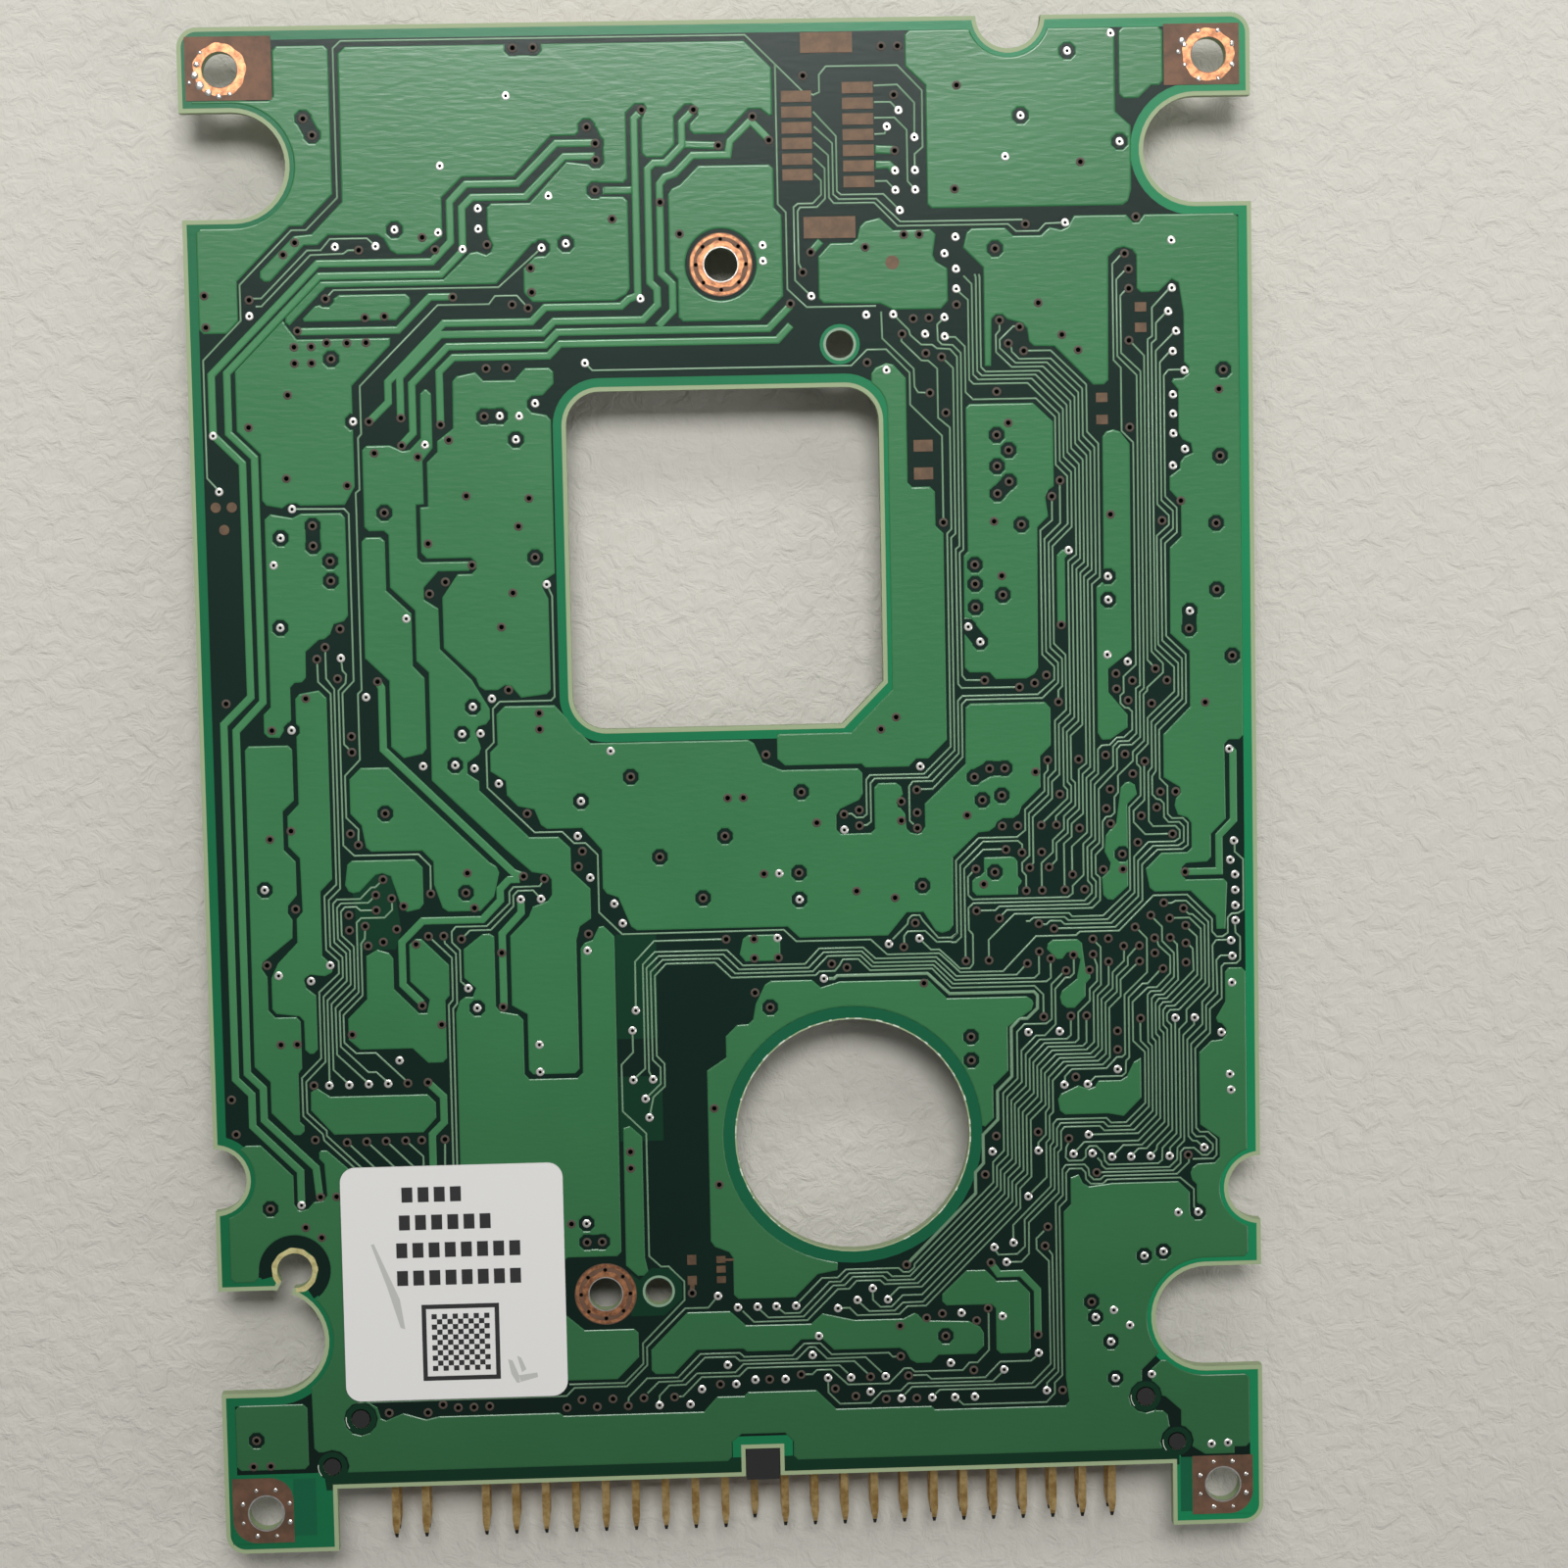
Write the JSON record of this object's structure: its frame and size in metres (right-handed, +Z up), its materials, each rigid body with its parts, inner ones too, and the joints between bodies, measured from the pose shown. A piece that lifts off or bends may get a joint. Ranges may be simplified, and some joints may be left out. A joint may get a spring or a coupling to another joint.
{
  "type": "hard drive circuit board",
  "caption": "Controller board of a laptop hard drive: notched green board with a motor window, a spindle hole, wide copper tracks and a right-angle pin header.",
  "frame": {"origin": "middle of the board's outline in X and Y, on the surface that the header and the socket stand on", "axes": "+X across the board, +Y away from the pin header along the board, +Z up, out of the solder side"},
  "size_m": [0.069, 0.0996, 0.005],
  "materials": {
    "laminate": "green solder mask over glass-fibre laminate, semi-gloss",
    "masked_copper": "copper under glossy green solder mask",
    "bare_copper": "oxidised bare copper",
    "label_paper": "pale grey label, satin",
    "black_plastic": "moulded glass-filled nylon",
    "gold_pin": "thin gold over nickel",
    "epoxy_package": "moulded epoxy",
    "tinned_lead": "tin-lead plated",
    "socket_plastic": "natural liquid-crystal polymer",
    "ceramic_tan": "fired ceramic",
    "resistor_black": "glazed resistor body",
    "tantalum_yellow": "moulded epoxy",
    "ferrite": "moulded ferrite",
    "crystal_can": "drawn can"
  },
  "bodies": {
    "root": {"board": "laminate", "motor_driver_copper": "masked_copper", "logic_copper": "masked_copper", "signal_copper": "masked_copper", "ground_frame_copper": "masked_copper", "power_tracks": "masked_copper", "screw_lands": "bare_copper", "test_pads": "bare_copper", "label": "label_paper", "header_housing": "black_plastic", "header_pins": "gold_pin", "head_socket_housing": "socket_plastic", "head_socket_contacts": "tinned_lead", "motor_connector_body": "socket_plastic", "motor_connector_contacts": "tinned_lead", "ceramic_capacitors": "ceramic_tan", "capacitor_ends": "tinned_lead", "chip_resistors": "resistor_black", "resistor_ends": "tinned_lead", "tantalum_capacitors": "tantalum_yellow", "tantalum_terminals": "tinned_lead", "power_inductors": "ferrite", "clock_crystal": "crystal_can", "controller_body": "epoxy_package", "controller_leads": "tinned_lead", "read_channel_body": "epoxy_package", "read_channel_leads": "tinned_lead", "motor_driver_body": "epoxy_package", "motor_driver_leads": "tinned_lead", "buffer_memory_body": "epoxy_package", "buffer_memory_leads": "tinned_lead", "settings_memory_body": "epoxy_package", "settings_memory_leads": "tinned_lead"}
  },
  "joints": []
}
